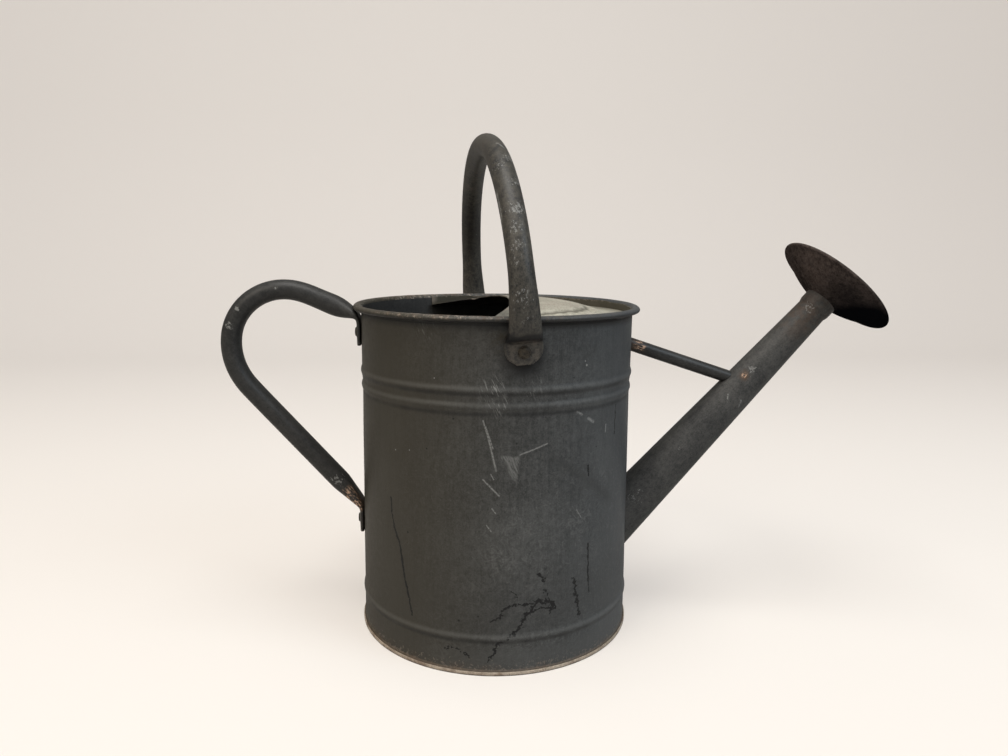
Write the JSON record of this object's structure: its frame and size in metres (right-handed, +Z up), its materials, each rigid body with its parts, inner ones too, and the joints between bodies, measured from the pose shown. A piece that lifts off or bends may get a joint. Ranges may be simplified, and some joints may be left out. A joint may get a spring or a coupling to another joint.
{
  "type": "watering can",
  "caption": "Round sheet steel watering can with half cover, slanted spout with a braced round rose, riveted rear handle and swinging carrying handle.",
  "frame": {"origin": "centre of the underside of the bottom disc; the foot seam that the can stands on reaches 3 mm lower", "axes": "+Z up along the can's axis, +X towards the spout and rose, -X towards the rear handle, -Y towards the side seen in the picture"},
  "size_m": [0.491, 0.2302, 0.3542],
  "materials": {
    "weathered_paint": "matt weathered grey paint over galvanised sheet, finely streaked and scratched",
    "pale_paint": "dull pale greenish grey, weathered",
    "dark_paint": "dark brown black, rough and tarnished",
    "worn_foot": "worn sheet with bare and rusty patches",
    "rivet_steel": "worn steel with a brown tarnish"
  },
  "bodies": {
    "can": {"can_wall": "weathered_paint", "can_base": "worn_foot", "top_cover": "pale_paint", "spout": "weathered_paint", "rose_back": "dark_paint", "rose_face": "dark_paint", "spout_brace": "weathered_paint", "rear_handle": "weathered_paint", "rear_rivet_lower": "rivet_steel", "rear_rivet_upper": "rivet_steel", "carrying_rivet_front": "rivet_steel", "carrying_rivet_back": "rivet_steel"},
    "carrying_handle": {"carrying_handle": "weathered_paint"}
  },
  "joints": [
    {"name": "carrying_handle_swing", "type": "hinge", "parent": "can", "child": "carrying_handle", "pos_m": [0, 0, 0.2108], "axis": [-0.075, 0.9972, 0], "range_deg": [-65, 90]}
  ]
}
